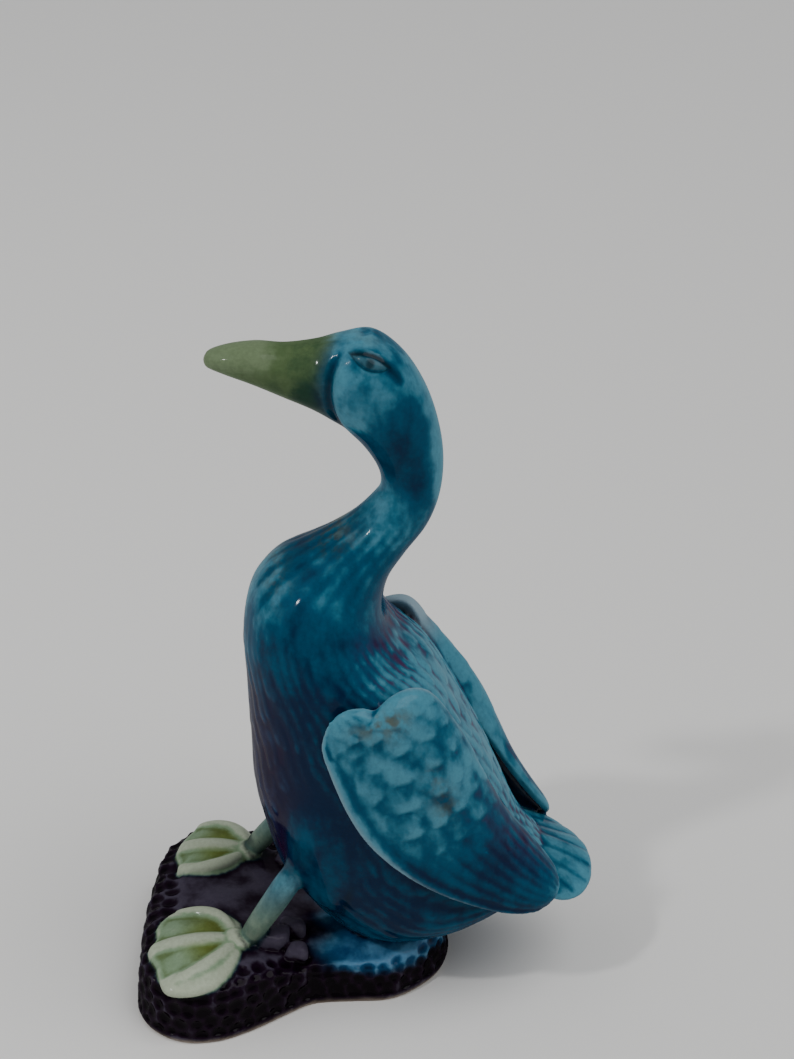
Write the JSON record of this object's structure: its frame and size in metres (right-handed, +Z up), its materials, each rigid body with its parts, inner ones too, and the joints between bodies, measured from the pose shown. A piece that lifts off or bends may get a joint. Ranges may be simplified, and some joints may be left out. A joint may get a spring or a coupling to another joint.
{
  "type": "ceramic duck figurine",
  "caption": "Glazed ceramic duck standing upright on a rockwork base, with folded wings, a tail fan and webbed feet, fired as one piece.",
  "frame": {"origin": "on the surface the figure stands on, under the middle of its bounding box", "axes": "+Z up, the duck looks along -Y, and +X is its left side"},
  "size_m": [0.0522, 0.0807, 0.118],
  "materials": {
    "turquoise_glaze": "glossy transparent glaze, pooled dark in the hollows and pale on the edges",
    "aubergine_glaze": "glossy, nearly black purple",
    "biscuit": "unglazed matt foot edge and underside"
  },
  "bodies": {
    "root": {"duck_figurine": "turquoise_glaze"}
  },
  "joints": []
}
